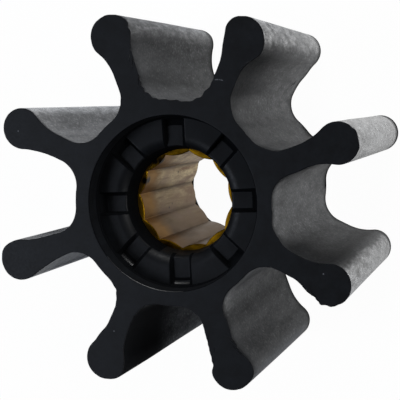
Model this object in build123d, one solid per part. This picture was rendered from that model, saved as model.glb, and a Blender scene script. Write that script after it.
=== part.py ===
from build123d import *
import os
from math import asin, degrees, radians, sin, sqrt, tan

# Flexible pump impeller: rubber blades moulded in one piece with their hub, round a splined
# brass bush that is bonded into the middle of it.
#
# Millimetres. The bore axis is Z, and the impeller stands on one end with the origin on that
# axis, in the plane of the lower end. Gaps, not blades, lie on the X and Y axes.

# Blades, from the hub outwards.
TIP_DIAMETER = 65.0
WIDTH = 45.0
BLADE_COUNT = 8
NECK_THICKNESS = 3.7
BULB_DIAMETER = 6.8
ROOT_FILLET = 4.6
NECK_FILLET = 10.2
MIN_NECK_STRAIGHT = 0.5

# Hub, with a shallow well in each end and a round hole, narrowing a little, down to the bush.
HUB_DIAMETER = 33.6
RIM_WALL = 2.45
WELL_DEPTH = 3.1
WELL_DRAFT = 4.0
HOLE_FLARE = 0.6
HOLE_RIM_FILLET = 2.0
MAX_RIM_SHARE = 0.6

# Radial slots in the floor of each well.
SLOT_COUNT = 8
SLOT_WIDTH = 3.4
SLOT_DEPTH = 0.8
SLOT_END_GAP = 0.25
SLOT_PHASE = 4.3

# Bush, whose bore is a ring of rounded lobes that meet in sharp grooves.
TOP_SETBACK = 7.7
BASE_SETBACK = 8.4
SPLINE_COUNT = 12
SPLINE_GROOVE_DIAMETER = 16.6
SPLINE_LOBE_HEIGHT = 0.65
SPLINE_PHASE = -2.7
BARE_END_RING = 0.3
BUSH_WALL = 2.5
KEY_FLUTE_COUNT = 8
KEY_FLUTE_RADIUS = 1.0

# Worked out from the sizes above.
BLADE_PITCH = 360 / BLADE_COUNT
HALF_NECK = NECK_THICKNESS / 2
BULB_RADIUS = BULB_DIAMETER / 2
BULB_CENTRE = TIP_DIAMETER / 2 - BULB_RADIUS
HUB_RADIUS = HUB_DIAMETER / 2
WELL_MOUTH_RADIUS = HUB_RADIUS - RIM_WALL
WELL_FLOOR_RADIUS = WELL_MOUTH_RADIUS - WELL_DEPTH * tan(radians(WELL_DRAFT))
GROOVE_RADIUS = SPLINE_GROOVE_DIAMETER / 2
LOBE_RADIUS = GROOVE_RADIUS - SPLINE_LOBE_HEIGHT
HOLE_RADIUS = GROOVE_RADIUS + BARE_END_RING
HOLE_MOUTH_RADIUS = HOLE_RADIUS + HOLE_FLARE
BUSH_RADIUS = GROOVE_RADIUS + BUSH_WALL
BUSH_LENGTH = WIDTH - TOP_SETBACK - BASE_SETBACK


def tangent_reach(radius, half_width, fillet):
    """How far from a circle's centre a fillet off that circle runs into a strip's edge.

    The strip is centred on a line through the circle's centre, and is narrower than the circle.
    """
    return sqrt((radius - half_width) * (radius + half_width + 2 * fillet))


def fillet_for_reach(radius, half_width, reach):
    """The fillet whose tangent_reach is this one."""
    return (reach**2 / (radius - half_width) - radius - half_width) / 2


def around(curve, count, start_angle=0.0):
    """The edges of a curve, copied evenly round the axis."""
    spots = PolarLocations(0, count, start_angle)
    return [edge for spot in spots for edge in (spot * curve).edges()]


def root_fillet():
    """The fillet from hub to neck, or as much of it as two neighbouring blades leave room for."""
    half_gap = sin(radians(BLADE_PITCH / 2))
    widest = (HUB_RADIUS * half_gap - HALF_NECK) / (1 - half_gap)
    return min(ROOT_FILLET, widest)


def blade_outline():
    """The outline of the blade on +X, from hub to hub: root, neck, bulb, neck and root again."""
    root = root_fillet()
    neck_start = tangent_reach(HUB_RADIUS, HALF_NECK, root)
    room = BULB_CENTRE - neck_start - MIN_NECK_STRAIGHT
    flare = min(NECK_FILLET, fillet_for_reach(BULB_RADIUS, HALF_NECK, room))
    reach = tangent_reach(BULB_RADIUS, HALF_NECK, flare)

    on_hub = Vector(neck_start, HALF_NECK + root) * (HUB_RADIUS / (HUB_RADIUS + root))
    neck_end = BULB_CENTRE - reach
    along = Vector(-reach, HALF_NECK + flare) * (BULB_RADIUS / (BULB_RADIUS + flare))
    on_bulb = Vector(BULB_CENTRE, 0) + along
    with BuildLine() as outline:
        RadiusArc(on_hub, (neck_start, HALF_NECK), -root)
        Line((neck_start, HALF_NECK), (neck_end, HALF_NECK))
        RadiusArc((neck_end, HALF_NECK), on_bulb, -flare)
        mirror(about=Plane.XZ)
        ThreePointArc(on_bulb, (TIP_DIAMETER / 2, 0), (on_bulb.X, -on_bulb.Y))
    return outline.line


def hub_arc():
    """The bare stretch of the hub between two blades, across +X."""
    root = root_fillet()
    blade_half_angle = degrees(asin((HALF_NECK + root) / (HUB_RADIUS + root)))
    half_angle = BLADE_PITCH / 2 - blade_half_angle
    return CenterArc((0, 0), HUB_RADIUS, -half_angle, 2 * half_angle)


def body_section():
    """The section that hub and blades share from end to end."""
    gaps = around(hub_arc(), BLADE_COUNT)
    blades = around(blade_outline(), BLADE_COUNT, BLADE_PITCH / 2)
    return make_face(gaps + blades)


def bore_space():
    """What is hollow along the axis: a drafted well in each end, and the hole that joins them."""
    profile = Polygon(
        (0, 0),
        (WELL_MOUTH_RADIUS, 0),
        (WELL_FLOOR_RADIUS, WELL_DEPTH),
        (HOLE_MOUTH_RADIUS, WELL_DEPTH),
        (HOLE_RADIUS, BASE_SETBACK),
        (HOLE_RADIUS, WIDTH - TOP_SETBACK),
        (HOLE_MOUTH_RADIUS, WIDTH - WELL_DEPTH),
        (WELL_FLOOR_RADIUS, WIDTH - WELL_DEPTH),
        (WELL_MOUTH_RADIUS, WIDTH),
        (0, WIDTH),
        align=None,
    )
    hole_rims = profile.vertices().group_by(lambda corner: corner.X)[2]
    rim_fillet = min(HOLE_RIM_FILLET, MAX_RIM_SHARE * (WELL_FLOOR_RADIUS - HOLE_MOUTH_RADIUS))
    return revolve(Plane.XZ * fillet(hole_rims, rim_fillet), axis=Axis.Z)


def slot_space():
    """What the slots take out of the upper well's floor.

    Each runs out from the hole, across its rounded rim, and its floor sweeps up in a quarter
    round just short of the well's wall.
    """
    end = WELL_FLOOR_RADIUS - SLOT_END_GAP
    well_floor = WIDTH - WELL_DEPTH
    slot_floor = well_floor - SLOT_DEPTH
    floor = Line((0, slot_floor), (end - SLOT_DEPTH, slot_floor))
    sweep_up = RadiusArc(floor @ 1, (end, well_floor), -SLOT_DEPTH)
    above = Polyline(sweep_up @ 1, (end, WIDTH), (0, WIDTH), floor @ 0)
    profile = Plane.XZ * make_face([floor, sweep_up, *above.edges()])
    slot = extrude(profile, amount=SLOT_WIDTH / 2, both=True)
    return Part() + PolarLocations(0, SLOT_COUNT, SLOT_PHASE) * slot


def bush_blank():
    """The bush before its bore is cut: a bar with keying flutes, in place.

    The rubber is moulded round it, so the same solid cuts the rubber's seat.
    """
    flutes = PolarLocations(BUSH_RADIUS, KEY_FLUTE_COUNT) * Circle(KEY_FLUTE_RADIUS)
    section = Circle(BUSH_RADIUS) - flutes
    return extrude(Pos(Z=BASE_SETBACK) * section, amount=BUSH_LENGTH)


def spline_bore():
    """The hollow in the bush: each lobe of metal is an arc from one sharp groove to the next."""
    half_pitch = 180 / SPLINE_COUNT
    groove = Vector(GROOVE_RADIUS, 0)
    lobe = ThreePointArc(
        groove.rotate(Axis.Z, -half_pitch),
        (LOBE_RADIUS, 0),
        groove.rotate(Axis.Z, half_pitch),
    )
    section = make_face(around(lobe, SPLINE_COUNT, SPLINE_PHASE + half_pitch))
    return extrude(Pos(Z=BASE_SETBACK) * section, amount=BUSH_LENGTH)


def rubber_body():
    """Hub and blades, hollowed from both ends and seated round the bush."""
    upper_slots = slot_space()
    lower_slots = mirror(upper_slots, about=Plane.XY.offset(WIDTH / 2))
    solid = extrude(body_section(), amount=WIDTH)
    return solid - bore_space() - upper_slots - lower_slots - bush_blank()


def splined_bush():
    """The brass bush, with the splined bore that the pump shaft drives."""
    return bush_blank() - spline_bore()


PIECES = {
    "rubber_body": rubber_body,
    "splined_bush": splined_bush,
}

os.makedirs("parts", exist_ok=True)
for name, make in PIECES.items():
    export_step(make(), f"parts/{name}.step")
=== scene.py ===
# %% [markdown]
# # A rubber pump impeller, dressed in Blender
#
# The impeller is a moulded rubber star with a brass bush in its hub. The imported CAD model gives
# the frame: where each piece stands and how large it is. Here each solid gets a finer mesh of
# the same form, with rounded edges and the small faults of a moulded piece, and materials.
# Loading the frame comes first: its box is printed, and the rubber's outer grid is kept inside it.

# %% Load the frame
from math import asin, atan, cos, degrees, pi, radians, sin, sqrt, tan

import bpy
import numpy as np
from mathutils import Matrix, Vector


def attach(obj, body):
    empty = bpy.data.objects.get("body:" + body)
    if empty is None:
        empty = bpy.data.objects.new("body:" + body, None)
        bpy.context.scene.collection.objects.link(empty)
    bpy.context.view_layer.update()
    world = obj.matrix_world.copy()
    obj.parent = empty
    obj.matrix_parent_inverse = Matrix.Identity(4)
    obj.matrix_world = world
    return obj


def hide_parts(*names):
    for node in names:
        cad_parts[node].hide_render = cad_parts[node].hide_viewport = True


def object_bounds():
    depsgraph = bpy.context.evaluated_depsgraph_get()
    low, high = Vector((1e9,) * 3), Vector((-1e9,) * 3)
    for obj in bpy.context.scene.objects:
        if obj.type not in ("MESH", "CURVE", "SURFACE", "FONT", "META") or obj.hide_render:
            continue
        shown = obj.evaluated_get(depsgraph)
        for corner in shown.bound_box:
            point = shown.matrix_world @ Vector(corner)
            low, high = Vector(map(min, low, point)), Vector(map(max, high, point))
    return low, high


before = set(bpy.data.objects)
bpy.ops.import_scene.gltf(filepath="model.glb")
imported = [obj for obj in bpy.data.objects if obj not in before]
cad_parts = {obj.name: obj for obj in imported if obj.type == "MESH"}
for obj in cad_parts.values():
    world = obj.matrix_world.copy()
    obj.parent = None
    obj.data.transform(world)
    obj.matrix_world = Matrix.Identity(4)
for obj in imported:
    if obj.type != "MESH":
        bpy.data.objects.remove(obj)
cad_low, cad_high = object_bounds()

print("CAD box, mm:", [round(1000 * v, 2) for v in (*cad_low, *cad_high)])

# %% [markdown]
# ## The camera
#
# The impeller stands on one end, and the camera looks steeply down on the other end from a
# short distance, so that the blades' far ends crowd inwards and the flanks on one side show.
# A camera could be aimed at a point by a constraint. Three written angles are plainer, and
# they stay put when something else looks at the object from another side.

# %% Camera
CAMERA_PLACE_MM = (58.370, 19.383, 216.730)
CAMERA_TURN_DEG = (-5.3309, 17.4499, 1.7653)
LENS_MM = 101.145  # on Blender's usual 36 mm sensor

camera_data = bpy.data.cameras.new("camera")
camera_data.lens = LENS_MM
camera_data.clip_start, camera_data.clip_end = 0.01, 10
camera = bpy.data.objects.new("camera", camera_data)
camera.location = [v / 1000 for v in CAMERA_PLACE_MM]
camera.rotation_euler = [radians(v) for v in CAMERA_TURN_DEG]
bpy.context.scene.collection.objects.link(camera)
bpy.context.scene.camera = camera
bpy.context.scene.view_settings.view_transform = "Standard"
print("camera at, mm:", CAMERA_PLACE_MM, "lens, mm:", LENS_MM)

# %% [markdown]
# ## The outline of the star
#
# Seen along its axis, the rubber is one closed outline: eight blades, each a bulb on a neck,
# joined by the bare arcs of the hub. Every stretch of it is an arc or a straight line, and each
# runs into the next without a corner, so the whole outline follows from a few sizes. It could
# be drawn as a curve object and extruded, but the edges have to be rounded and made a little
# ragged, and the end face has to share its points with the well in the hub. So it is worked
# out as one array of points. A point on the plane is kept as a complex number: then a turn is
# one multiplication and a mirror image is the conjugate.

# %% Sizes of the rubber, in millimetres
WIDTH = 45.0
TIP_RADIUS = 32.5
BULB_RADIUS = 3.4
HALF_NECK = 1.85
ROOT_FILLET = 4.6
NECK_FILLET = 10.2
HUB_RADIUS = 16.8
BLADES = 8
HALF_PITCH = pi / BLADES

BULB_CENTRE = TIP_RADIUS - BULB_RADIUS


def tangent_reach(radius, half_width, fillet):
    """From a circle's centre to where a fillet off the circle meets a strip's edge."""
    return sqrt((radius - half_width) * (radius + half_width + 2 * fillet))


NECK_START = tangent_reach(HUB_RADIUS, HALF_NECK, ROOT_FILLET)
NECK_END = BULB_CENTRE - tangent_reach(BULB_RADIUS, HALF_NECK, NECK_FILLET)
ON_HUB = asin((HALF_NECK + ROOT_FILLET) / (HUB_RADIUS + ROOT_FILLET))
FLARE = asin((BULB_CENTRE - NECK_END) / (BULB_RADIUS + NECK_FILLET))
print(f"neck from {NECK_START:.2f} to {NECK_END:.2f} mm, flare turns {degrees(FLARE):.1f} deg")


# %% Arcs, and points spaced evenly along a curve
def arc(centre, radius, start, end, count=200):
    """centre + radius * exp(i a), with the angle a going evenly from start to end."""
    return centre + radius * np.exp(1j * np.linspace(start, end, count))


def even(curve, count):
    """count + 1 points at equal steps along a curve, found on its running length."""
    length = np.concatenate([[0], np.cumsum(np.abs(np.diff(curve)))])
    spots = np.linspace(0, length[-1], count + 1)
    return np.interp(spots, length, curve.real) + 1j * np.interp(spots, length, curve.imag)


print("a quarter circle in three steps:", np.round(even(arc(0, 1, 0, pi / 2), 3), 3))

# %% [markdown]
# ## Columns and rows
#
# The rubber's skin is two grids. The outer one has a column for each point of the outline, and
# its rows run from the middle of the upper end, over the edge, down the flank and back along
# the lower end. The inner one has a column for each point of the well's mouth, and its rows
# run down the well, through the hole and out of the other well. Where the grids meet they
# share points, so the skin is closed.
#
# The slots in the well's floor have parallel sides, so the inner columns can't simply be rays.
# A column beside a slot keeps its distance from the slot's middle line, and the columns on the
# land between two slots spread evenly from there to the blade's middle line.

# %% Sizes of the well, its slots and the hole, in millimetres
MOUTH_RADIUS = 14.35
WELL_DEPTH = 3.1
FLOOR_RADIUS = MOUTH_RADIUS - WELL_DEPTH * tan(radians(4.0))
HOLE_RADIUS = 8.6
HOLE_FLARE = 0.6
RIM_FILLET = 2.0
HALF_SLOT = 1.7
SLOT_DEPTH = 0.8
SLOT_END = FLOOR_RADIUS - 0.25
SLOT_TURN = radians(4.3)
MOUTH_ROUND = 0.14
CORNER_ROUND = 0.25

print(f"well: radius {MOUTH_RADIUS} mm at its mouth and {FLOOR_RADIUS:.2f} mm at its floor")

# %% Inner columns: distance from the slot's middle line, how deep in the slot, how far on land
slot_side = np.array(
    [(0.16, 0), (0.09, 0.03), (0.03, 0.12), (0, 0.26), (-0.02, 0.5), (-0.04, 0.76),
     (-0.08, 0.9), (-0.15, 0.98), (-0.26, 1), (-0.5, 1), (-1.1, 1), (-1.7, 1)]
)
side_offset = HALF_SLOT + slot_side[:, 0]
LAND_BEFORE, LAND_AFTER = 18, 11
column_offset = np.concatenate(
    [np.full(LAND_BEFORE, -side_offset[0]), -side_offset, side_offset[-2::-1],
     np.full(LAND_AFTER, side_offset[0])]
)
column_depth = np.concatenate(
    [np.zeros(LAND_BEFORE), slot_side[:, 1], slot_side[-2::-1, 1], np.zeros(LAND_AFTER)]
)
column_land = np.zeros(len(column_offset))
column_land[:LAND_BEFORE] = np.linspace(1, 0, LAND_BEFORE + 1)[:-1]
column_land[-LAND_AFTER:] = np.linspace(0, 1, LAND_AFTER + 1)[1:]
blade_line = np.sign(column_offset) * HALF_PITCH
ARC_COLUMNS = len(column_offset)


def column_angle(radius):
    """Angle of each column of one pitch at each radius, for a row vector of radii.

    Beside a slot it is turn + asin(offset / radius). On land it moves from there to the
    blade's middle line, by the column's share.
    """
    beside = SLOT_TURN + np.arcsin(column_offset / np.asarray(radius)[:, None])
    return beside + (blade_line - beside) * column_land


print("columns between two blades:", ARC_COLUMNS)

# %% The outline, one pitch and then all eight
BLADE_COLUMNS = 46
half_gap = np.concatenate(
    [
        arc(NECK_START + 1j * (HALF_NECK + ROOT_FILLET), ROOT_FILLET, -pi / 2, ON_HUB - pi),
        arc(0, HUB_RADIUS, ON_HUB, HALF_PITCH),
    ]
) * np.exp(-1j * HALF_PITCH)
gap = even(np.concatenate([half_gap, half_gap[::-1].conj()]), ARC_COLUMNS - 1)
half_blade = even(
    np.concatenate(
        [
            arc(BULB_CENTRE, BULB_RADIUS, 0, pi / 2 + FLARE),
            arc(NECK_END + 1j * (HALF_NECK + NECK_FILLET), NECK_FILLET, FLARE - pi / 2, -pi / 2),
            [NECK_START + 1j * HALF_NECK],
        ]
    ),
    BLADE_COLUMNS,
)
blade = np.concatenate([half_blade[::-1].conj(), half_blade[1:]])[1:-1] * np.exp(1j * HALF_PITCH)
middle_line = np.linspace(MOUTH_ROUND + MOUTH_RADIUS, BULB_CENTRE, BLADE_COLUMNS + 1)
middle_line = np.concatenate([middle_line, middle_line[-2::-1]])[1:-1] * np.exp(1j * HALF_PITCH)
mouth = np.exp(1j * column_angle([MOUTH_RADIUS + MOUTH_ROUND])[0]) * (MOUTH_RADIUS + MOUTH_ROUND)

pitches = np.exp(2j * HALF_PITCH * np.arange(BLADES))[:, None]
outline = (pitches * np.concatenate([gap, blade])).ravel()
inward_end = (pitches * np.concatenate([mouth, middle_line])).ravel()
tangent = np.roll(outline, -1) - np.roll(outline, 1)
outward = -1j * tangent / np.abs(tangent)

# Which blade each point is on, its place as seen from that blade's own middle line, its side of
# it (1 if anticlockwise), and the gap that it faces. Blade 0 is the first after +X, and gap 0
# is the one on +X.
blade_of = (np.angle(outline) % (2 * pi) // (2 * HALF_PITCH)).astype(int)
on_blade = outline * np.exp(-1j * HALF_PITCH * (2 * blade_of + 1))
side_of = np.where(on_blade.imag > 0, 1, -1)
gap_of = np.where(side_of > 0, blade_of + 1, blade_of) % BLADES
print("columns round the star:", len(outline))

# %% [markdown]
# ## Small faults
#
# Moulded rubber isn't drawn with a ruler. The trimmed edge of the upper end is ragged in places
# and nicked in a few. A blade's side stands out or is sunk here and there by up to half a
# millimetre. The blades have also leant sideways and shrunk by a few tenths of a millimetre in
# storage. All this could be sculpted, but a table can be read and corrected: each kind of fault
# has one, with a line for each place, and a function that sums its smooth bumps over the whole
# grid. The finest unevenness is noise: a sum of plane waves in random directions, which takes
# whole arrays. Its seeds are fixed, so each run gives the same piece.


# %% Noise and lean
def waves(x, y, z, size, seed, count=14):
    """Sum of count sines of k . (x, y, z) + phase, scaled to a mean square of 1.

    k has a random direction, and a length of 0.6 to 1.5 times 2 pi / size.
    """
    rng = np.random.default_rng(seed)
    k = rng.normal(size=(count, 3))
    k *= 2 * pi / (size * np.linalg.norm(k, axis=1)[:, None]) * rng.uniform(0.6, 1.5, (count, 1))
    phase = rng.uniform(0, 2 * pi, count)
    total = sum(np.sin(a * x + b * y + c * z + p) for (a, b, c), p in zip(k, phase))
    return total * sqrt(2 / count)


# How far each bulb has moved at the upper and the lower end, in mm: round the axis as the
# imaginary part, and outwards along the blade as the real part.
LEAN_UPPER = np.array([-0.08j, 0, 0.11j, -0.05j, 0.07j, 0.20j - 0.25, 0.14j - 0.45, -0.14j - 0.20])
LEAN_LOWER = np.array(
    [0.02j, -0.23j - 0.34, -0.67j - 0.20, 0, 0.05j, 0.80j, 0.17j - 0.25, 0.14j - 0.40]
)
# Further in than this the rubber stays put, and a tip moves little more than its bulb's middle.
LEAN_START, MAX_SHARE = 18, 1.1
print(f"furthest lean: {np.abs([LEAN_UPPER, LEAN_LOWER]).max():.2f} mm")


def lean(flat, z):
    """Moves each blade by its table value * share^2, share = (r - start) / (bulb centre - start).

    A bulb that leans towards a corner of the bounding square is pulled in by tan(pitch / 2) of
    that, so that it stays inside the square.
    """
    turn = np.angle(flat) % (2 * pi)
    which = (turn // (2 * HALF_PITCH)).astype(int) % BLADES
    share = np.clip((np.abs(flat) - LEAN_START) / (BULB_CENTRE - LEAN_START), 0, MAX_SHARE) ** 2
    shift = LEAN_LOWER[which] + (LEAN_UPPER - LEAN_LOWER)[which] * z / WIDTH
    drawn_in = tan(HALF_PITCH) * np.clip(shift.imag * np.where(which % 2, 1, -1), 0, None)
    drawn_in = np.clip(drawn_in + shift.real, 0, None)
    return flat + share * (shift - drawn_in) * np.exp(1j * HALF_PITCH * (2 * which + 1))


# %% Nicks in the upper edge: x, y, half width and depth in mm
NICKS = np.array(
    [(-7.5, 28.9, 0.55, 0.55), (-8.1, 28.2, 0.35, 0.30), (24.0, -13.6, 0.45, 0.50),
     (23.2, -13.0, 0.30, 0.20), (-9.6, -15.0, 0.35, 0.30), (-12.9, 29.1, 0.5, 0.15)]
)
print(len(NICKS), "nicks, the deepest", NICKS[:, 3].max(), "mm")


def nick_depth(flat, below):
    """Sum of depth * exp(-(distance / half width)^2 - below / (2 * half width)).

    below is the distance down from the upper end, so a nick dies away down the flank.
    """
    x, y, half_width, depth = (NICKS[:, i, None, None] for i in range(4))
    away = np.abs(flat[None] - (x + 1j * y)) / half_width
    return (depth * np.exp(-(away**2) - below[None] / (2 * half_width))).sum(0)


# %% Where a blade's side stands out or is sunk
# Blade, side, end (1 upper, 0 lower), distance from the axis, half length and how far out, in mm.
UNEVEN = np.array(
    [(0, -1, 1, 21.0, 3.0, 0.35), (0, 1, 1, 17.5, 2.0, 0.45), (1, 1, 1, 28.3, 1.2, -0.35),
     (1, 1, 1, 31.3, 1.0, 0.15), (1, -1, 0, 25.0, 2.3, 0.50), (1, -1, 1, 28.0, 2.0, 0.50),
     (1, -1, 1, 17.5, 2.5, 0.45), (2, 1, 1, 27.5, 1.6, 0.20), (2, -1, 1, 30.3, 1.5, 0.40),
     (2, -1, 1, 23.0, 4.0, 0.50), (3, 1, 1, 25.0, 2.5, 0.25), (4, -1, 1, 24.0, 3.0, 0.35),
     (4, -1, 0, 25.0, 4.0, -0.30), (4, 1, 1, 25.0, 3.0, 0.50), (4, 1, 0, 25.0, 4.0, -0.30),
     (4, -1, 1, 31.2, 1.0, 0.20), (5, -1, 1, 25.5, 1.5, 0.30), (5, 1, 1, 30.5, 1.3, 0.40),
     (6, -1, 1, 24.0, 2.5, 0.35), (6, -1, 1, 27.3, 0.9, -0.30), (6, 1, 1, 30.5, 1.5, 0.40),
     (6, 1, 1, 21.5, 3.0, 0.45), (7, -1, 1, 26.0, 1.5, 0.30), (7, 1, 1, 18.0, 2.0, 0.50)]
)
print(len(UNEVEN), "uneven places, between", UNEVEN[:, 5].min(), "and", UNEVEN[:, 5].max(), "mm")


def unevenness(z):
    """Sum of out * exp(-((r - distance) / half length)^2) * share of the way to that end."""
    blade, side, end, distance, half_length, out = (UNEVEN[:, i, None, None] for i in range(6))
    here = (blade_of == blade) & (side_of == side)
    share = np.where(end == 1, z / WIDTH, 1 - z / WIDTH)
    return (here * out * share * np.exp(-(((on_blade.real - distance) / half_length) ** 2))).sum(0)


# %% Ragged stretches of the upper edge: x, y, half length and depth in mm
RAGGED = np.array(
    [(-3.5, 19.5, 5.0, 0.10), (3.5, 18.0, 4.0, 0.09), (-9.0, 26.5, 3.0, 0.07),
     (30.0, 12.4, 2.5, 0.13), (25.0, -15.5, 3.0, 0.10), (17.0, -14.0, 4.0, 0.06),
     (-6.0, -17.6, 3.0, 0.06), (9.8, -23.0, 4.0, 0.06)]
)
# The rags' length along the edge, their reach down the flank, and their depth everywhere else.
RAG_LENGTH, RAG_REACH, LEAST_RAG = 1.2, 0.4, 0.008
# The flanks' own soft swell: its height, its length, and how much slower it goes along the axis.
SWELL, SWELL_LENGTH, SWELL_DRAWN = 0.012, 11, 0.3
print(len(RAGGED), "ragged stretches")


def raggedness(flat):
    """Sum of depth * exp(-(distance / half length)^2)."""
    x, y, half_length, depth = (RAGGED[:, i, None, None] for i in range(4))
    return (depth * np.exp(-((np.abs(flat[None] - (x + 1j * y)) / half_length) ** 2))).sum(0)


# %% The outer grid
UPPER_ROUND, LOWER_ROUND = 0.10, 0.30
face_share = np.array([0, 0.05, 0.3, 0.6, 0.95])
edge_turn = np.linspace(pi / 2, 0, 6)
# Rows lie closer together near the ends, where the faults are small.
flank_z = np.concatenate(
    [[WIDTH - 0.25, WIDTH - 0.6, WIDTH - 1.2], np.linspace(WIDTH - 2.4, 3.0, 19), [1.6, 0.8, 0.5]]
)
FACE_ROWS, EDGE_ROWS = len(face_share), len(edge_turn)


def end_rows(rounding):
    """Face and edge of one end: flat positions, and depths below the end's plane.

    Face: inward end + share * (inset outline - inward end). Edge: a quarter round.
    """
    inset = outline - rounding * outward
    face = inward_end + face_share[:, None] * (inset - inward_end)
    edge = inset + rounding * np.cos(edge_turn)[:, None] * outward
    depth = np.concatenate([0 * face_share, rounding * (1 - np.sin(edge_turn))])
    return np.concatenate([face, edge]), depth


upper, upper_depth = end_rows(UPPER_ROUND)
lower, lower_depth = end_rows(LOWER_ROUND)
flat = np.concatenate([upper, np.repeat(outline[None], len(flank_z), axis=0), lower[::-1]])
z = np.concatenate([WIDTH - upper_depth, flank_z, lower_depth[::-1]])[:, None] + 0 * flat.real

base = outline[None] + 0 * z
along_edge = waves(base.real, base.imag, 0 * z, RAG_LENGTH, seed=1)
trimmed = (LEAST_RAG + raggedness(base[:1])) * along_edge * np.exp(-(WIDTH - z) / RAG_REACH)
swell = waves(base.real, base.imag, z * SWELL_DRAWN, SWELL_LENGTH, seed=2) * SWELL
moved = np.zeros((len(z), 1))
moved[FACE_ROWS - 1 : -FACE_ROWS + 1] = 1
flat = flat + (swell + trimmed + unevenness(z) - nick_depth(base, WIDTH - z)) * moved * outward
flat = lean(flat, z)
outer = np.stack([flat.real, flat.imag, z], -1)
outer = np.clip(outer, 1000 * np.array(cad_low), 1000 * np.array(cad_high))
print("outer grid:", outer.shape[:2])

# %% [markdown]
# ## Down the well
#
# One profile goes down through each end of the hub: the rounded mouth, the drafted wall, the
# corner, the floor, the rounded rim of the hole and the hole itself, which narrows down to the
# bush. It is kept as radius + i * depth. Cutting the slots with booleans would leave long thin
# faces on the rounded rim, so the grid itself sinks into them: it takes the deeper of two
# depths, the land's and the slot floor's, and a column on a slot's side takes a share of the
# difference. The slot's outer end sweeps up in a quarter round, so the rows crowd together
# there. The middle of the hole opens out into the seat that grips the bush, with a rib in each
# of the bush's keying flutes.

# %% Profile of one end, from the mouth to the bush
TOP_SETBACK, BASE_SETBACK = 7.7, 8.4
BUSH_TOP, BUSH_BASE = WIDTH - TOP_SETBACK, BASE_SETBACK


def end_profile(setback):
    """Radius + i * depth from the mouth to the bush, which lies setback below the end's plane.

    The hole's wall leans by taper, so the rim's arc is centred
    fillet * (1 - sin taper) / cos taper outside the corner that it rounds.
    """
    taper = atan(HOLE_FLARE / (setback - WELL_DEPTH))
    corner = HOLE_RADIUS + HOLE_FLARE
    rim_centre = corner + RIM_FILLET * (1 - sin(taper)) / cos(taper)
    wall_end = WELL_DEPTH - CORNER_ROUND
    quarter = np.linspace(0, pi / 2, 12)[1:]
    rim = arc(rim_centre + 1j * (WELL_DEPTH + RIM_FILLET), RIM_FILLET, -pi / 2, taper - pi, 17)
    return np.concatenate(
        [
            MOUTH_RADIUS + MOUTH_ROUND + MOUTH_ROUND * arc(1j, 1, -pi / 2, -pi, 5),
            np.linspace(MOUTH_RADIUS + 1j * MOUTH_ROUND, FLOOR_RADIUS + 1j * wall_end, 8)[1:-1],
            arc(FLOOR_RADIUS - CORNER_ROUND + 1j * wall_end, CORNER_ROUND, 0, pi / 2, 5),
            SLOT_END - SLOT_DEPTH * (1 - np.cos(quarter)) + 1j * WELL_DEPTH,
            np.linspace(SLOT_END - SLOT_DEPTH, rim_centre, 6)[1:] + 1j * WELL_DEPTH,
            rim[1:],
            np.linspace(rim[-1], HOLE_RADIUS + 1j * setback, 5)[1:],
        ]
    )


# Which rows of quads make up the mouth, the corner, a slot's swept end, all of a slot and the
# hole, and which of the mouth's and the swept end's rows the mould's cutter polished.
MOUTH_ROWS, CORNER_ROWS, SWEEP_ROWS = slice(0, 4), slice(10, 15), slice(15, 27)
SLOT_ROWS, HOLE_ROWS = slice(15, 48), slice(43, None)
BRIGHT_MOUTH_ROWS, BRIGHT_SWEEP_ROWS = slice(1, 3), slice(19, 25)
print("points down one end:", len(end_profile(TOP_SETBACK)))


# %% Cutting the slots
def cut_slots(profile):
    """Radius and depth of every inner point of one end, with the slots cut.

    Slot floor: well depth + sqrt(depth^2 - (r - start)^2) in the quarter round past start, and
    well depth + depth before it. Depth: land + share * max(slot floor - land, 0).
    """
    radius, land = profile.real[:, None], profile.imag[:, None]
    past = np.clip(radius - (SLOT_END - SLOT_DEPTH), 0, SLOT_DEPTH)
    slot_floor = WELL_DEPTH + np.sqrt(SLOT_DEPTH**2 - past**2)
    inside = (radius <= SLOT_END) & (land >= WELL_DEPTH)
    return radius, land + column_depth * np.where(inside, np.clip(slot_floor - land, 0, None), 0)


def all_round(profile):
    """Angle, radius and depth of one end's points, all round the axis.

    The columns of one pitch repeat, without doubling the ones that two pitches share.
    """
    radius, depth = cut_slots(profile)
    turns = 2 * HALF_PITCH * np.arange(BLADES)
    angle = (column_angle(profile.real)[:, None, :-1] + turns[:, None]).reshape(len(profile), -1)
    return angle, radius + 0 * angle, np.tile(depth[:, :-1], BLADES)


top_angle, top_radius, top_depth = all_round(end_profile(TOP_SETBACK))
low_angle, low_radius, low_depth = all_round(end_profile(BASE_SETBACK))
print("points of one end, down and round:", top_angle.shape)

# %% The inner grid
BUSH_RADIUS = 10.8
FLUTES, FLUTE_RADIUS = 8, 1.0
MIDDLE_Z = [28.0, 18.0]  # rings of points on the bush's outside and on its seat


def fluted(angle):
    """Radius of the bush's outside: a circle with half-round flutes cut into it.

    In a flute at angle a from its middle: R cos a - sqrt(f^2 - R^2 sin^2 a).
    """
    step = 2 * pi / FLUTES
    a = (angle + step / 2) % step - step / 2
    room = FLUTE_RADIUS**2 - (BUSH_RADIUS * np.sin(a)) ** 2
    cut = BUSH_RADIUS * np.cos(a) - np.sqrt(np.clip(room, 0, None))
    return np.where(room > 0, cut, BUSH_RADIUS)


seat_z = np.array([BUSH_TOP, *MIDDLE_Z, BUSH_BASE])[:, None] + 0 * top_angle[:1]
seat_angle = np.repeat(top_angle[-1:], len(seat_z), axis=0)
inner_angle = np.concatenate([top_angle, seat_angle, low_angle[::-1]])
inner_radius = np.concatenate([top_radius, fluted(seat_angle), low_radius[::-1]])
inner_z = np.concatenate([WIDTH - top_depth, seat_z, low_depth[::-1]])
inner_flat = inner_radius * np.exp(1j * inner_angle)
inner = np.stack([inner_flat.real, inner_flat.imag, inner_z], -1)
print("inner grid:", inner.shape[:2])

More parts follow.
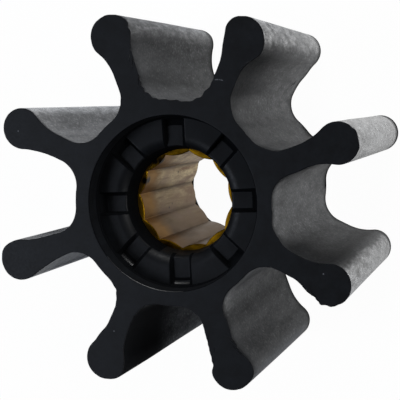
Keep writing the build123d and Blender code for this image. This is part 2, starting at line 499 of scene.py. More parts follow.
# %% [markdown]
# ## From grids to a mesh
#
# A grid that closes on itself sideways gives one quad for each point and its neighbours. The
# grids are laid into one list, and points that fall on the same spot become one point. Merging
# by distance would do that too, but rounding takes the whole array at once and gives each
# point's new number. In a closed skin each edge then belongs to exactly two faces, which is easy
# to count. Its volume, added up face by face, tells which way the faces look: it is negative if
# they look inwards.


# %% Quads, volume and open edges
def quads_of(rows, columns, first=0):
    """Corner numbers of each quad of a grid whose last column joins its first."""
    spot = first + np.arange(rows * columns).reshape(rows, columns)
    right = np.roll(spot, -1, axis=1)
    return np.stack([spot[:-1], spot[1:], right[1:], right[:-1]], -1).reshape(-1, 4)


def volume(points, quads):
    """Sum over triangles of a . (b x c) / 6."""
    a, b, c, d = (points[quads[:, i]] for i in range(4))
    total = np.einsum("ij,ij->i", a, np.cross(b, c) + np.cross(c, d)).sum()
    return total / 6


def open_edges(quads):
    """How many edges don't belong to exactly two faces."""
    ends = np.sort(np.stack([quads, np.roll(quads, -1, axis=1)], -1).reshape(-1, 2), axis=1)
    return int((np.unique(ends, axis=0, return_counts=True)[1] != 2).sum())


print("open edges of a ring of four quads:", open_edges(quads_of(2, 4)))


# %% Welding, and the mesh object
def skin(name, points, quads, material=0, **painted):
    """A smooth mesh object from points in mm, its faces turned outwards.

    Points that round to the same thousandth of a millimetre become one. material is the number
    of each quad's material, and each painted array becomes a point attribute of that name.
    """
    _, keep, number = np.unique(
        np.round(points * 1000).astype(np.int64), axis=0, return_index=True, return_inverse=True
    )
    points, quads = points[keep], number.reshape(-1)[quads]
    size = volume(points, quads)
    if size < 0:
        quads = quads[:, ::-1]
    mesh = bpy.data.meshes.new(name)
    mesh.from_pydata(points / 1000, [], quads.tolist())
    mesh.polygons.foreach_set("use_smooth", np.ones(len(quads), bool))
    mesh.polygons.foreach_set("material_index", np.full(len(quads), 0, np.int32) + material)
    for label, values in painted.items():
        layer = mesh.attributes.new(label, "FLOAT", "POINT")
        layer.data.foreach_set("value", values[keep].astype(np.float32))
    made = bpy.data.objects.new(name, mesh)
    bpy.context.scene.collection.objects.link(made)
    print(f"{name}: {len(quads)} quads, {open_edges(quads)} open edges, {abs(size):.0f} mm3")
    return made


# %% [markdown]
# ## Which skin is where
#
# One moulding has four kinds of surface. Most of it is dull: the flanks, the ends and the well's
# floor. The housing has burnished the outer sides of the bulbs. A few narrow roundings in the
# well were polished in the mould and catch the light. The rest is a near-black matt rubber that
# paints shade where it falls: the slots' sides, the well's mouth and corner, one side of the
# hole's wall, the foot of the flanks as a contact shadow, and one shaded flank all over. The four
# differ in how strongly they mirror. One material could blend them all, but four short ones are
# easier to read and correct, so each quad says which it has. Two point attributes add what has no
# sharp border: how much grey lies in each gap, which is partly dust and partly painted light and
# shade, and how far a bulb's side has been burnished.

# %% How much grey each gap has: dust, and painted light and shade
# From 0 to 1, going round from the gap on +X. The grey is partly dust and partly painted light and
# shade: how brightly each flank mirrors the lit or shaded bench. So it is set gap by gap and mostly
# grows towards the bench. Each row starts at the flank on the clockwise side of the gap, then its
# floor on the hub, then the other flank. Each pair is the level near the upper end and the one near
# the lower end. Below 0 there is none.
GAP_DUST_AND_LIGHT = np.array(
    [[(-0.1, 0.56), (0.27, 0.43), (0.20, 0.60)], [(0.3, 0.5), (0.10, 0.53), (-0.1, 0.54)],
     [(0.3, 0.4), (0.11, 0.24), (0.08, 0.50)], [(0.3, 0.4), (0.30, 0.38), (0.40, 0.50)],
     [(0.4, 0.4), (0.4, 0.4), (0.45, 0.50)], [(0.9, 0.9), (0.4, 0.4), (0.3, 0.3)],
     [(-0.6, 1.0), (0.30, 1.00), (0.2, 0.4)], [(0.10, 0.26), (0.35, 0.45), (0.3, 0.4)]]
)
# How far down from the upper edge, in mm, each gap is kept nearly free of grey, as painted shade
# below that edge: on a flank, on the hub.
EDGE_SHADE_BAND = np.array(
    [(8.0, 1.2), (4.5, 2.2), (1.2, 1.2), (0.5, 0.5), (0.5, 0.5), (0.5, 0.5), (5.0, 1.2), (1.2, 1.2)]
)
# Near the bench the grey and the gloss die away and the foot is painted dark as a contact shadow,
# further up on the first blade after +X.
SHADED_FOOT = np.array([2.3] + [0.9] * (BLADES - 1))
FOOT_FADE = 1.6
DARK_SHARE = 0.4  # of the band of painted shade before the grey begins
FLANK_START, FLANK_FADE = 17.5, 3.5  # from the hub's level of grey, dust and painted light, to the flank's

on_flank = np.clip((on_blade.real - FLANK_START) / FLANK_FADE, 0, 1)
on_hub, at_flank = GAP_DUST_AND_LIGHT[gap_of, 1], GAP_DUST_AND_LIGHT[gap_of, np.where(side_of > 0, 0, 2)]
near_level, far_level = (on_hub + on_flank[:, None] * (at_flank - on_hub)).T
band = EDGE_SHADE_BAND[gap_of, 1] + on_flank * (EDGE_SHADE_BAND[gap_of, 0] - EDGE_SHADE_BAND[gap_of, 1])
share_down = np.clip((WIDTH - z) / WIDTH, 0, 1)
# The grey: partly dust, partly painted light and shade.
dust = np.maximum(0, near_level + (far_level - near_level) * share_down)
foot = SHADED_FOOT[blade_of]
above_foot = np.clip((z - foot) / FOOT_FADE, 0, 1)
# Painted shade: no grey near the upper edge, and none at the foot.
dust *= np.clip((WIDTH - z) / band - DARK_SHARE, 0, 1) * above_foot
dust[:FACE_ROWS] = dust[-FACE_ROWS:] = 0
print(f"dust: {dust.mean():.2f} on average, {dust.max():.2f} at most")

# %% How strongly each bulb's outer side has been burnished, and where that starts, blade by blade
BURNISHED = np.array([1, 0.75, 0.5, 0.8, 0.8, 0, 0, 1])
BURNISH_START = BULB_CENTRE + np.array([-3.6, -1.6, -3.2, -3.6, -3.0, 0, -1.0, -1.0])
BURNISH_FADE = 3.4

rubbed = np.clip((on_blade.real - BURNISH_START[blade_of]) / BURNISH_FADE, 0, 1)
rubbed = rubbed * rubbed * (3 - 2 * rubbed) * BURNISHED[blade_of]
print("burnished bulbs:", np.count_nonzero(BURNISHED), "of", BLADES)

# %% Which material each quad of the outer grid has
BURNISHED_SIDE, DULL, POLISHED, MATT_SHADE = range(4)
# Blade 5's anticlockwise flank, in the gap on -Y, is painted dark all over as shade.
SHADED_BLADE, SHADED_FLANK_SIDE = 5, 1
GLOSSY_FROM, FLANK_FROM = 0.2, 0.05  # the least share of rubbed and of on_flank that counts

row_z = (z[:-1, 0] + z[1:, 0])[:, None] / 2
# Matt quads are painted shade: that flank, and the foot of every flank as a contact shadow.
shaded_flank = (blade_of == SHADED_BLADE) & (side_of == SHADED_FLANK_SIDE) & (on_flank > FLANK_FROM)
outer_material = np.where(rubbed + 0 * row_z > GLOSSY_FROM, BURNISHED_SIDE, DULL)
outer_material = np.where(shaded_flank | (row_z < foot), MATT_SHADE, outer_material)
END_ROWS = FACE_ROWS + EDGE_ROWS - 1
outer_material[:END_ROWS] = outer_material[-END_ROWS:] = DULL
print("outer quads of each material:", np.bincount(outer_material.ravel()))

# %% Which material each quad of the inner grid has
BRIGHT_SIDE = (-110, 30)  # azimuth in degrees, and how far to each side of it
SHADED_SIDE = (165, 84.5)
STEEP_FROM, DEEP_FROM = 0.85, 0.97  # a column's share of the slot's depth


def towards(angle, side):
    """Whether each angle is on a side, given as its azimuth and half width in degrees."""
    middle, half_width = np.radians(side)
    return np.cos(angle - middle) > cos(half_width)


in_slot = np.tile(column_depth[:-1], BLADES)
beside = (in_slot > 0) & (in_slot < 1)
bright = towards(top_angle[CORNER_ROWS.start], BRIGHT_SIDE)
# Matt quads are painted shade in the well: the mouth away from the bright side, the corner, the steep
# swept ends, both sides of each slot, and the hole's wall on the shaded side.
end_material = np.full(top_angle.shape, DULL)
end_material[MOUTH_ROWS] = end_material[CORNER_ROWS] = MATT_SHADE
end_material[MOUTH_ROWS, bright] = DULL
end_material[BRIGHT_MOUTH_ROWS, bright] = POLISHED
end_material[SWEEP_ROWS, in_slot > STEEP_FROM] = MATT_SHADE
end_material[BRIGHT_SWEEP_ROWS, bright & (in_slot > DEEP_FROM)] = POLISHED
end_material[SLOT_ROWS, beside | np.roll(beside, 1) | np.roll(beside, -1)] = MATT_SHADE
end_material[HOLE_ROWS, towards(top_angle[HOLE_ROWS.start], SHADED_SIDE)] = MATT_SHADE
seat_material = np.full((len(seat_z) - 1, end_material.shape[1]), DULL)
inner_material = np.concatenate([end_material, seat_material, end_material[::-1]])
print("inner quads of each material:", np.bincount(inner_material.ravel()))

# %% Rubber mesh
rubber_points = np.concatenate([outer.reshape(-1, 3), inner.reshape(-1, 3)])
rubber_quads = np.concatenate(
    [quads_of(*outer.shape[:2]), quads_of(*inner.shape[:2], first=outer[..., 0].size)[:, ::-1]]
)
inner_bare = np.zeros(inner[..., 0].size)
moulding = skin(
    "moulded_rubber", rubber_points, rubber_quads,
    material=np.concatenate([outer_material.ravel(), inner_material.ravel()]),
    burnish=np.concatenate([(rubbed * above_foot).ravel(), inner_bare]),
    dust=np.concatenate([dust.ravel(), inner_bare]),
)
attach(moulding, "root")
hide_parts("rubber_body")

# %% [markdown]
# ## The brass bush
#
# The bush is a short brass tube. Its bore is broached into twelve rounded lobes that meet in
# sharp grooves, and the pump shaft has a groove for each lobe. A curve could be extruded for it,
# but in one closed grid the grooves fall exactly on columns, and the small edges are just more
# rows. There is a column every half degree, and the rows go down the bore, across the lower
# end, up the outside and back across the upper end.

# %% The lobed bore
LOBES = 12
GROOVE_RADIUS = 8.3
LOBE_RADIUS = 7.65
GROOVE_TURN = radians(-2.7)
HALF_LOBE = pi / LOBES


def from_lobe(angle):
    """Angle from the nearest lobe's crown, between minus and plus half a lobe."""
    return (angle - GROOVE_TURN) % (2 * HALF_LOBE) - HALF_LOBE


def lobed(angle):
    """Radius of the bore: each lobe is an arc through its crown and its two grooves.

    With the arc's centre c out from the axis and its radius q = c - crown, the bore is at
    c cos a - sqrt(q^2 - c^2 sin^2 a), where a is the angle from the lobe's crown.
    """
    c = (GROOVE_RADIUS**2 - LOBE_RADIUS**2) / (2 * (GROOVE_RADIUS * cos(HALF_LOBE) - LOBE_RADIUS))
    a = from_lobe(angle)
    return c * np.cos(a) - np.sqrt((c - LOBE_RADIUS) ** 2 - (c * np.sin(a)) ** 2)


bush_angle = GROOVE_TURN + np.linspace(0, 2 * pi, 720, endpoint=False)
bore, outside = lobed(bush_angle), fluted(bush_angle)
print(f"bore: radius {bore.min():.2f} to {bore.max():.2f} mm")

# %% Bush mesh
BUSH_EDGE = 0.14
BORE_ROWS, ROW_INSET = 24, 0.4

turn = np.linspace(0, pi / 2, 4)
widen = BUSH_EDGE * (1 - np.cos(turn))
sink = BUSH_EDGE * (1 - np.sin(turn))
straight_z = np.linspace(BUSH_TOP - ROW_INSET, BUSH_BASE + ROW_INSET, BORE_ROWS)
across = np.linspace(0, 1, 6)[1:, None]
bore_edge = bore + BUSH_EDGE
bush_radius = np.concatenate(
    [bore + np.concatenate([widen[::-1], 0 * straight_z, widen])[:, None],
     bore_edge + across * (outside - bore_edge),
     np.repeat(outside[None], len(MIDDLE_Z), axis=0),
     bore_edge + across[::-1] * (outside - bore_edge),
     bore_edge[None]]
)
bush_z = np.concatenate(
    [BUSH_TOP - sink[::-1], straight_z, BUSH_BASE + sink,
     np.full(len(across), BUSH_BASE), MIDDLE_Z[::-1], np.full(len(across) + 1, BUSH_TOP)]
)
bush_flat = bush_radius * np.exp(1j * bush_angle)
bush_points = np.stack([bush_flat.real, bush_flat.imag, bush_z[:, None] + 0 * bush_radius], -1)

# Two attributes for the brass: on_end is 1 off the bore's wall, and groove is 1 in a groove.
GROOVE_STAIN = radians(2.6)
on_end = np.ones(bush_radius.shape)
on_end[len(turn) - 1 : len(turn) + len(straight_z)] = 0
from_groove = HALF_LOBE - np.abs(from_lobe(bush_angle))
groove = 0 * bush_radius + np.exp(-((from_groove / GROOVE_STAIN) ** 2))
bush = skin(
    "brass_bush", bush_points.reshape(-1, 3), quads_of(*bush_points.shape[:2]),
    on_end=on_end.ravel(), groove=groove.ravel(),
)
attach(bush, "root")
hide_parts("splined_bush")

# %% [markdown]
# ## Materials
#
# Worn rubber and stained brass vary from place to place. Painted images could show that, but
# noise that is worked out in nodes has no seams and stays sharp when it is looked at closely. A
# colour is written as a hex value, as a screen shows it, and turned to the linear value that
# Blender reckons with. One small function adds a node with its settings and links, so that
# each material reads as a list. Patterns are laid on Object coordinates, which are metres here,
# so a pattern of a given size in millimetres has a scale of 1000 over that size. Most patterns
# are stretched along the axis, because the rubber was drawn off its mould that way, and the
# broach and the shaft went through the brass that way.


# %% Colour and node helpers
def linear(hex_colour):
    """sRGB hex to linear RGBA: c / 12.92 below 0.04045, else ((c + 0.055) / 1.055) ^ 2.4."""
    c = np.array([int(hex_colour[i : i + 2], 16) for i in (1, 3, 5)]) / 255
    return (*np.where(c <= 0.04045, c / 12.92, ((c + 0.055) / 1.055) ** 2.4), 1)


def add(tree, kind, inputs=(), **settings):
    """Adds a node: settings are its properties, and inputs maps a socket to a value or output."""
    made = tree.nodes.new("ShaderNode" + kind)
    for name, value in settings.items():
        setattr(made, name, value)
    for socket, value in dict(inputs).items():
        if isinstance(value, bpy.types.NodeSocket):
            tree.links.new(value, made.inputs[socket])
        else:
            made.inputs[socket].default_value = value
    return made


def new_material(name):
    """A material without nodes, and its node tree."""
    material = bpy.data.materials.new(name)
    material.use_nodes = True
    material.node_tree.nodes.clear()
    return material, material.node_tree


print("mid grey, linear:", round(float(linear("#808080")[0]), 3))

# %% Patterns that several materials share
DRAWN_OUT = (1, 1, 0.4)
# The real grain and specks are about 0.1 mm wide. Here they are coarser, so that they show.
GRAIN_MM, GRAIN_HEIGHT = 0.45, 0.03 / 1000


def spots(tree, place, listed):
    """1 inside small balls round the listed points, given as x, y, z and radius in mm."""
    total = 0.0
    for *centre, radius in listed:
        centre = [v / 1000 for v in centre]
        away = add(tree, "VectorMath", {0: place, 1: centre}, operation="DISTANCE").outputs["Value"]
        near = add(
            tree, "MapRange", {"Value": away, "From Min": radius / 1000, "From Max": radius / 2000}
        ).outputs[0]
        total = add(tree, "Math", {0: near, 1: total}, operation="MAXIMUM").outputs[0]
    return total


def dusted(tree, place, colour):
    """Lays grey over a colour, as strong as the dust attribute: streaky blotches and
    specks. The grey is partly a dusting and partly painted light and shade.
    """
    level = add(tree, "Attribute", attribute_name="dust").outputs["Fac"]
    drawn_out = add(tree, "Mapping", {"Vector": place, "Scale": DRAWN_OUT}).outputs[0]
    blotches = add(
        tree, "TexNoise", {"Vector": drawn_out, "Scale": 1000 / 1.8, "Detail": 6, "Roughness": 0.75}
    ).outputs["Fac"]
    blotches = add(
        tree, "MapRange",
        {"Value": blotches, "From Min": 0.30, "From Max": 0.70, "To Min": 0.45, "To Max": 1.55},
    ).outputs[0]
    level = add(tree, "Math", {0: level, 1: blotches}, operation="MULTIPLY").outputs[0]
    colour = add(tree, "Mix", {0: level, 6: colour, 7: linear("#7a7b7c")}, data_type="RGBA").outputs[2]
    grain = add(tree, "TexNoise", {"Vector": place, "Scale": 1000 / 0.4, "Detail": 2}).outputs["Fac"]
    specks = add(
        tree, "MapRange", {"Value": grain, "From Min": 0.54, "From Max": 0.70, "To Max": 0.9}
    ).outputs[0]
    specks = add(tree, "Math", {0: specks, 1: level}, operation="MULTIPLY").outputs[0]
    return add(tree, "Mix", {0: specks, 6: colour, 7: linear("#a0a1a2")}, data_type="RGBA").outputs[2]


print(f"rubber's grain: {GRAIN_MM} mm wide and {1000 * GRAIN_HEIGHT:.2f} mm high")

# %% Carbon-black nitrile rubber, dull
# Pressed in a steel mould, and only its ends ground flat afterwards. Light sinks in: it is nearly
# black, with a weak, wide sheen. On the flanks talc and bloomed wax lie on it as a grey, blotchy
# dust, and the same grey paints light and shade: more of it in some gaps than in others and
# towards the bench, where the flanks mirror the lit bench. There are a few grains of grit and a
# scratch on the upper end, and a near-black spot on one flank, painted as the shade in a pit.
dull, tree = new_material("dull_nitrile_rubber")
place = add(tree, "TexCoord").outputs["Object"]
clouds = add(
    tree, "TexNoise", {"Vector": place, "Scale": 1000 / 2.2, "Detail": 5, "Roughness": 0.6}
).outputs["Fac"]
clouds = add(tree, "MapRange", {"Value": clouds, "From Min": 0.35, "From Max": 0.7}).outputs[0]
colour = add(
    tree, "Mix", {0: clouds, 6: linear("#08090b"), 7: linear("#0e1013")}, data_type="RGBA"
).outputs[2]
colour = dusted(tree, place, colour)
grit = [(-27.5, 10.7, WIDTH, 0.15), (25.5, -9.5, WIDTH, 0.15), (-9.4, -21.9, WIDTH, 0.14)]
scratch = [
    (6.9, 20.24, WIDTH, 0.11), (7.1, 20.26, WIDTH, 0.12), (7.3, 20.27, WIDTH, 0.12),
    (7.6, 20.26, WIDTH, 0.10), (7.85, 20.22, WIDTH, 0.12), (8.05, 20.16, WIDTH, 0.11),
]
marks = spots(tree, place, grit + scratch)
colour = add(tree, "Mix", {0: marks, 6: colour, 7: linear("#4c4e52")}, data_type="RGBA").outputs[2]
# A near-black spot on one flank, painted as the shade in a pit.
pit_shade = spots(tree, place, [(10.7, 20.2, 4.6, 0.6), (10.5, 19.9, 5.6, 0.5)])
colour = add(tree, "Mix", {0: pit_shade, 6: colour, 7: linear("#020202")}, data_type="RGBA").outputs[2]
grain = add(tree, "TexNoise", {"Vector": place, "Scale": 1000 / GRAIN_MM, "Detail": 2}).outputs["Fac"]
rough = add(
    tree, "MapRange",
    {"Value": grain, "From Min": 0.3, "From Max": 0.7, "To Min": 0.44, "To Max": 0.56},
).outputs[0]
relief = add(tree, "Bump", {"Height": grain, "Strength": 0.3, "Distance": GRAIN_HEIGHT}).outputs[0]
surface = add(
    tree, "BsdfPrincipled",
    {"Base Color": colour, "Roughness": rough, "Normal": relief, "Specular IOR Level": 0.13},
)
add(tree, "OutputMaterial", {"Surface": surface.outputs[0]})
print(dull.name, "has", len(tree.nodes), "nodes")

# %% The same rubber, burnished
# The pump's housing has rubbed the outer sides of the bulbs. They are glossy and look pale
# where they mirror the bench, with pale grey smears that are partly wax and partly painted sheen,
# and they fade out in a spotty border.
burnished, tree = new_material("burnished_nitrile_rubber")
place = add(tree, "TexCoord").outputs["Object"]
burnish = add(tree, "Attribute", attribute_name="burnish").outputs["Fac"]
drawn_out = add(tree, "Mapping", {"Vector": place, "Scale": DRAWN_OUT}).outputs[0]
spotty = add(
    tree, "TexNoise", {"Vector": drawn_out, "Scale": 1000 / 1.4, "Detail": 5, "Roughness": 0.7}
).outputs["Fac"]
spotty = add(
    tree, "MapRange",
    {"Value": spotty, "From Min": 0.3, "From Max": 0.7, "To Min": -0.28, "To Max": 0.28},
).outputs[0]
burnish = add(tree, "Math", {0: burnish, 1: spotty}, operation="ADD").outputs[0]
rough = add(
    tree, "MapRange",
    {"Value": burnish, "From Min": 0.25, "From Max": 0.9, "To Min": 0.75, "To Max": 0.20},
).outputs[0]
# Pale grey smears where the bulbs are most burnished: partly wax, partly painted sheen.
smears_and_sheen = add(
    tree, "TexNoise", {"Vector": drawn_out, "Scale": 1000 / 1.2, "Detail": 6, "Roughness": 0.8}
).outputs["Fac"]
smears_and_sheen = add(
    tree, "MapRange", {"Value": smears_and_sheen, "From Min": 0.38, "From Max": 0.62, "To Max": 0.7}
).outputs[0]
worn_in = add(tree, "MapRange", {"Value": burnish, "From Min": 0.5, "From Max": 1.0}).outputs[0]
smears_and_sheen = add(tree, "Math", {0: smears_and_sheen, 1: worn_in}, operation="MULTIPLY").outputs[0]
colour = dusted(tree, place, linear("#0e0f10"))
colour = add(tree, "Mix", {0: smears_and_sheen, 6: colour, 7: linear("#a6a7a8")}, data_type="RGBA").outputs[2]
grain = add(
    tree, "TexNoise", {"Vector": drawn_out, "Scale": 1000 / GRAIN_MM, "Detail": 2}
).outputs["Fac"]
relief = add(tree, "Bump", {"Height": grain, "Strength": 0.4, "Distance": GRAIN_HEIGHT}).outputs[0]
surface = add(
    tree, "BsdfPrincipled",
    {"Base Color": colour, "Roughness": rough, "Normal": relief, "Specular IOR Level": 0.5},
)
add(tree, "OutputMaterial", {"Surface": surface.outputs[0]})
print(burnished.name, "has", len(tree.nodes), "nodes")

# %% The same rubber, polished in the mould
# The cutter that sank the well into the mould left some of its small radii bright, and the
# rubber took that on: black, with a narrow, strong highlight.
polished, tree = new_material("mould_polished_nitrile_rubber")
place = add(tree, "TexCoord").outputs["Object"]
clouds = add(tree, "TexNoise", {"Vector": place, "Scale": 1000 / 1.5}).outputs["Fac"]
rough = add(
    tree, "MapRange",
    {"Value": clouds, "From Min": 0.35, "From Max": 0.65, "To Min": 0.28, "To Max": 0.36},
).outputs[0]
surface = add(
    tree, "BsdfPrincipled",
    {"Base Color": linear("#0b0c0e"), "Roughness": rough, "Specular IOR Level": 0.5},
)
add(tree, "OutputMaterial", {"Surface": surface.outputs[0]})
print(polished.name, "has", len(tree.nodes), "nodes")

# %% The same rubber, matt, as painted shade
# Near black and mirroring next to nothing, it is laid where shade falls, so its darkness is
# painted shade: each slot has a black line along both sides. Where the grey of the dust
# attribute lies, it is grey like the rest.
shade_rubber, tree = new_material("matt_rubber_painted_shade")
place = add(tree, "TexCoord").outputs["Object"]
clouds = add(
    tree, "TexNoise", {"Vector": place, "Scale": 1000 / 2.6, "Detail": 5, "Roughness": 0.62}
).outputs["Fac"]
colour = add(
    tree, "Mix", {0: clouds, 6: linear("#040506"), 7: linear("#0b0c0e")}, data_type="RGBA"
).outputs[2]
colour = dusted(tree, place, colour)
surface = add(
    tree, "BsdfPrincipled", {"Base Color": colour, "Roughness": 0.8, "Specular IOR Level": 0.02}
)
add(tree, "OutputMaterial", {"Surface": surface.outputs[0]})
print(shade_rubber.name, "has", len(tree.nodes), "nodes")

# The order is that of the quads' material numbers.
for material in (burnished, dull, polished, shade_rubber):
    moulding.data.materials.append(material)

# %% Broached brass: the worn bore
# Drawn brass, broached along the axis, and then wetted with sea water for years. The shaft has
# worn the bore to a pale, streaky tan, with brown left in the grooves, and the bore is browner
# towards -Y. The broach's own lines are finer than the half millimetre that they are given here,
# so that they show.
brass, tree = new_material("broached_brass_with_patina")
place = add(tree, "TexCoord").outputs["Object"]
axes = add(tree, "SeparateXYZ", {0: place}).outputs
along_bore = add(tree, "Mapping", {"Vector": place, "Scale": (1, 1, 0.25)}).outputs[0]
streaks = add(
    tree, "TexNoise", {"Vector": along_bore, "Scale": 1000 / 2.2, "Detail": 5, "Roughness": 0.65}
).outputs["Fac"]
streaked = add(tree, "MapRange", {"Value": streaks, "From Min": 0.40, "From Max": 0.60}).outputs[0]
broach = add(tree, "Mapping", {"Vector": place, "Scale": (1, 1, 0.06)}).outputs[0]
lines = add(tree, "TexNoise", {"Vector": broach, "Scale": 1000 / 0.5, "Detail": 3}).outputs["Fac"]
lines = add(
    tree, "MapRange", {"Value": lines, "From Min": 0.50, "From Max": 0.68, "To Max": 0.6}
).outputs[0]
clouds = add(tree, "TexNoise", {"Vector": place, "Scale": 1000 / 4, "Detail": 3}).outputs["Fac"]
clouded = add(
    tree, "MapRange", {"Value": clouds, "From Min": 0.45, "From Max": 0.65, "To Max": 0.5}
).outputs[0]


def on_bore(azimuth, z, radius, bore_radius=7.9):
    """A spot on the bore, from its azimuth in degrees and its height and size in mm."""
    a = radians(azimuth)
    return (bore_radius * cos(a), bore_radius * sin(a), z, radius)


orange = spots(tree, place, [on_bore(140.6, 36.2, 2.4), on_bore(150, 36.8, 1.6)])
orange = add(tree, "Math", {0: orange, 1: 0.8}, operation="MULTIPLY").outputs[0]
grooves = add(tree, "Attribute", attribute_name="groove").outputs["Fac"]
grooves = add(tree, "Math", {0: grooves, 1: 0.7}, operation="MULTIPLY").outputs[0]
minus_y = add(
    tree, "MapRange", {"Value": axes["Y"], "From Min": 0.0025, "From Max": -0.0060, "To Max": 0.9}
).outputs[0]

# Tan first, and then each brown over it where its mask is above 0.
worn = add(
    tree, "Mix", {0: streaked, 6: linear("#856037"), 7: linear("#f4dfb4")}, data_type="RGBA"
).outputs[2]
for mask, brown in [(lines, "#8a6434"), (clouded, "#b4957c"), (orange, "#9a6a2c"),
                    (grooves, "#4a3c28"), (minus_y, "#7a5f3e")]:
    worn = add(tree, "Mix", {0: mask, 6: worn, 7: linear(brown)}, data_type="RGBA").outputs[2]
print("patterns of the bore:", len(tree.nodes), "nodes")

# %% Broached brass: patina and stains
# Nothing rubs the end ring, so it has kept its dark golden patina. On the side of -X the ring is
# painted paler, as painted light where the rubber's hole shades it. On that side gold has also run
# down into the bore, and there are a few nearly black stains.
run_down = add(
    tree, "MapRange",
    {"Value": axes["Z"], "From Min": (BUSH_TOP - 8.5) / 1000, "From Max": (BUSH_TOP - 2.5) / 1000},
).outputs[0]
minus_x = add(
    tree, "MapRange", {"Value": axes["X"], "From Min": 0.0005, "From Max": -0.0050, "To Max": 1.2}
).outputs[0]
run_down = add(tree, "Math", {0: run_down, 1: minus_x}, operation="MULTIPLY").outputs[0]
patchy = add(
    tree, "MapRange",
    {"Value": streaks, "From Min": 0.35, "From Max": 0.65, "To Min": 1.4, "To Max": 0.5},
).outputs[0]
run_down = add(tree, "Math", {0: run_down, 1: patchy}, operation="MULTIPLY").outputs[0]
worn = add(tree, "Mix", {0: run_down, 6: worn, 7: linear("#a87812")}, data_type="RGBA").outputs[2]

ring = add(
    tree, "Mix", {0: streaked, 6: linear("#543c04"), 7: linear("#745408")}, data_type="RGBA"
).outputs[2]
# Painted light: the ring is paler towards -X.
painted_light_on_ring = add(
    tree, "MapRange", {"Value": axes["X"], "From Min": -0.0045, "From Max": -0.0078}
).outputs[0]
ring = add(tree, "Mix", {0: painted_light_on_ring, 6: ring, 7: linear("#c0921c")}, data_type="RGBA").outputs[2]
end_ring = add(tree, "Attribute", attribute_name="on_end").outputs["Fac"]
end_ring = add(tree, "MapRange", {"Value": end_ring, "From Min": 0.3, "From Max": 0.9}).outputs[0]
colour = add(tree, "Mix", {0: end_ring, 6: worn, 7: ring}, data_type="RGBA").outputs[2]
pits = [
    on_bore(155.5, 20.5, 0.35), on_bore(159.3, 23.3, 0.3), on_bore(-162.1, 22.6, 0.3),
    on_bore(-157.6, 24.3, 0.3),
]
stains = [
    (-4.8, 6.4, 36.8, 1.0), (-5.6, 6.2, 37.2, 0.7), (-7.4, 2.8, 37.0, 0.9), (-7.3, 2.9, 36.0, 0.8)
]
stains = spots(tree, place, pits + stains)
colour = add(tree, "Mix", {0: stains, 6: colour, 7: linear("#1c160e")}, data_type="RGBA").outputs[2]

rough = add(
    tree, "MapRange",
    {"Value": streaks, "From Min": 0.3, "From Max": 0.7, "To Min": 0.32, "To Max": 0.5},
).outputs[0]
surface = add(tree, "BsdfPrincipled", {"Base Color": colour, "Metallic": 1.0, "Roughness": rough})
add(tree, "OutputMaterial", {"Surface": surface.outputs[0]})
bush.data.materials.append(brass)
print(brass.name, "has", len(tree.nodes), "nodes")

# %% [markdown]
# ## Floor, world and lamps
#
# The impeller stands on a plain white bench. Lamps alone would leave that grey towards its edges,
# so the camera sees it as even white paper with a faint shadow. Rays that mirror off the brass
# or the rubber see a mostly ordinary matt white surface with a little glow, and with more of it
# right under the bore, which stands for the light that comes up through the paper. All other
# rays meet the matt surface alone, as they would in a studio.
#
# Black rubber shows its form only where it mirrors something pale, so the lamps are large, soft
# and low. The key lamp is behind the impeller, one is beside it, and a bluish one opposite fills
# the shade.

# %% Floor
FLOOR_SIZE = 3.0
SHADOW_SHARE = 0.03
MIRRORED_GLOW = 0.13
GLOW_UNDER_BORE = 0.48

corner = FLOOR_SIZE / 2
mesh = bpy.data.meshes.new("bench_top")
mesh.from_pydata(
    [(-corner, -corner, 0), (corner, -corner, 0), (corner, corner, 0), (-corner, corner, 0)],
    [], [(0, 1, 2, 3)],
)
floor = bpy.data.objects.new("bench_top", mesh)
bpy.context.scene.collection.objects.link(floor)

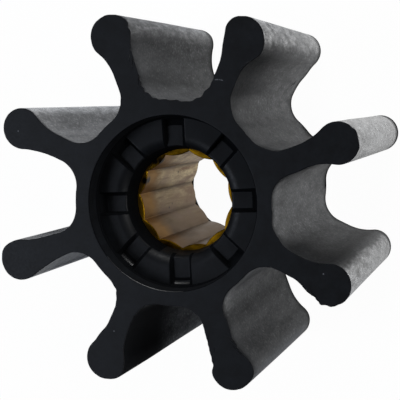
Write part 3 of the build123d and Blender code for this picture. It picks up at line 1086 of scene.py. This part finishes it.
# Uncoated white paper: pressed fibres that scatter light evenly, with no gloss.
paper, tree = new_material("white_bench_paper")
ray = add(tree, "LightPath")
matt = add(tree, "BsdfDiffuse", {"Color": linear("#e6e6e6")}).outputs[0]
white = add(tree, "Emission", {"Color": (1, 1, 1, 1), "Strength": 1.0}).outputs[0]
seen = add(tree, "MixShader", {0: SHADOW_SHARE, 1: white, 2: matt}).outputs[0]
place = add(tree, "TexCoord").outputs["Object"]
from_axis = add(tree, "VectorMath", {0: place}, operation="LENGTH").outputs["Value"]
glow = add(
    tree, "MapRange",
    {"Value": from_axis, "From Min": 0.009, "From Max": 0.014, "To Min": GLOW_UNDER_BORE,
     "To Max": MIRRORED_GLOW},
).outputs[0]
mirrored = add(tree, "MixShader", {0: glow, 1: matt, 2: white}).outputs[0]
unseen = add(tree, "MixShader", {0: ray.outputs["Is Glossy Ray"], 1: matt, 2: mirrored}).outputs[0]
both = add(tree, "MixShader", {0: ray.outputs["Is Camera Ray"], 1: unseen, 2: seen}).outputs[0]
add(tree, "OutputMaterial", {"Surface": both})
floor.data.materials.append(paper)
print("bench:", FLOOR_SIZE, "m wide")

# %% World
AMBIENT = 0.02

world = bpy.data.worlds.new("studio")
bpy.context.scene.world = world
world.use_nodes = True
tree = world.node_tree
tree.nodes.clear()
ray = add(tree, "LightPath")
dim = add(tree, "Background", {"Color": (1, 1, 1, 1), "Strength": AMBIENT})
bright = add(tree, "Background", {"Color": (1, 1, 1, 1), "Strength": 1.0})
both = add(
    tree, "MixShader", {0: ray.outputs["Is Camera Ray"], 1: dim.outputs[0], 2: bright.outputs[0]}
)
add(tree, "OutputWorld", {"Surface": both.outputs[0]})
print("world lights the scene at", AMBIENT)


# %% Lamps
LAMP_DISTANCE, LAMP_SIZE = 0.6, 0.35  # m


def soft_lamp(name, azimuth, elevation, power, colour="#ffffff"):
    """A square area lamp aimed at the impeller's middle, from these angles in degrees."""
    data = bpy.data.lights.new(name, "AREA")
    data.shape, data.size, data.energy = "SQUARE", LAMP_SIZE, power
    data.color = linear(colour)[:3]
    lamp = bpy.data.objects.new(name, data)
    a, e = radians(azimuth), radians(elevation)
    away = np.array([cos(e) * cos(a), cos(e) * sin(a), sin(e)]) * LAMP_DISTANCE
    lamp.location = away + (0, 0, WIDTH / 2000)
    lamp.rotation_euler = (pi / 2 - e, 0, a + pi / 2)
    bpy.context.scene.collection.objects.link(lamp)
    print(f"{name} lamp: {power} W from azimuth {azimuth}, elevation {elevation}")


soft_lamp("key", azimuth=90, elevation=21, power=3.4)
soft_lamp("side", azimuth=8, elevation=22, power=2.8)
soft_lamp("fill", azimuth=197, elevation=42, power=2.9, colour="#dbe3f2")
